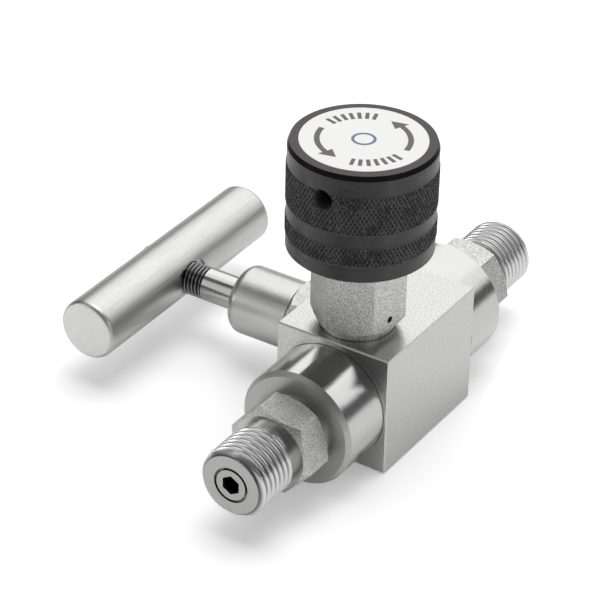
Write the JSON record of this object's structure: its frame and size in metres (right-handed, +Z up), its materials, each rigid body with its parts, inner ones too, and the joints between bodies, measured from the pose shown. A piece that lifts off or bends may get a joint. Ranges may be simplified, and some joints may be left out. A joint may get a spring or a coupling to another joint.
{
  "type": "block and bleed valve",
  "caption": "Stainless block and bleed needle valve: square block with male pipe ports at both ends, T-bar isolation valve on the side and knurled-knob bleed valve on top.",
  "frame": {"origin": "middle of the block's underside", "axes": "+X along the flow axis towards the inlet port, +Y along the isolation spindle towards the T-bar, +Z up along the bleed spindle towards the knob"},
  "size_m": [0.0942, 0.0682, 0.0612],
  "materials": {
    "block_steel": "satin, fine blasted",
    "turned_steel": "turned and brushed",
    "hex_steel": "blasted flats",
    "needle_steel": "ground",
    "screw_steel": "blackened",
    "ptfe": "matt",
    "seal_rubber": "matt",
    "knob_anodised": "black anodised, satin",
    "label_film": "satin film with grey print"
  },
  "bodies": {
    "valve": {"valve_body": "block_steel", "inlet_adapter": "hex_steel", "outlet_adapter": "hex_steel", "inlet_adapter_seal": "ptfe", "outlet_adapter_seal": "ptfe", "outlet_restrictor": "turned_steel", "isolation_bonnet": "hex_steel", "isolation_bonnet_seal": "ptfe", "isolation_packing_washer": "turned_steel", "isolation_packing_rings": "ptfe", "isolation_gland_bush": "turned_steel", "isolation_gland_cap": "turned_steel", "bleed_bonnet": "hex_steel", "bleed_bonnet_seal": "ptfe", "bleed_retaining_cap": "turned_steel"},
    "isolation_tip": {"isolation_needle": "needle_steel"},
    "isolation_handle": {"isolation_spindle": "turned_steel", "t_bar": "turned_steel", "t_bar_grub_screw": "screw_steel"},
    "bleed_tip": {"bleed_needle": "needle_steel"},
    "bleed_handle": {"bleed_spindle": "turned_steel", "bleed_o_ring": "seal_rubber", "bleed_backup_ring": "ptfe", "bleed_knob": "knob_anodised", "knob_grub_screw": "screw_steel", "knob_label": "label_film"}
  },
  "joints": [
    {"name": "isolation_lift", "type": "slide", "parent": "valve", "child": "isolation_tip", "axis": [0, 1, 0], "range_m": [0, 0.004]},
    {"name": "isolation_turn", "type": "hinge", "parent": "isolation_tip", "child": "isolation_handle", "pos_m": [0.0043, 0, 0.012], "axis": [0, 1, 0], "range_deg": [0, 1440]},
    {"name": "bleed_lift", "type": "slide", "parent": "valve", "child": "bleed_tip", "axis": [0, 0, 1], "range_m": [0, 0.0025]},
    {"name": "bleed_turn", "type": "hinge", "parent": "bleed_tip", "child": "bleed_handle", "pos_m": [-0.0069, 0, 0.024], "axis": [0, 0, 1], "range_deg": [0, 900]}
  ],
  "couplings": [
    {"joint": "isolation_lift", "follows": "isolation_turn", "m_per_rad": 0.00015915},
    {"joint": "bleed_lift", "follows": "bleed_turn", "m_per_rad": 0.00015915}
  ]
}
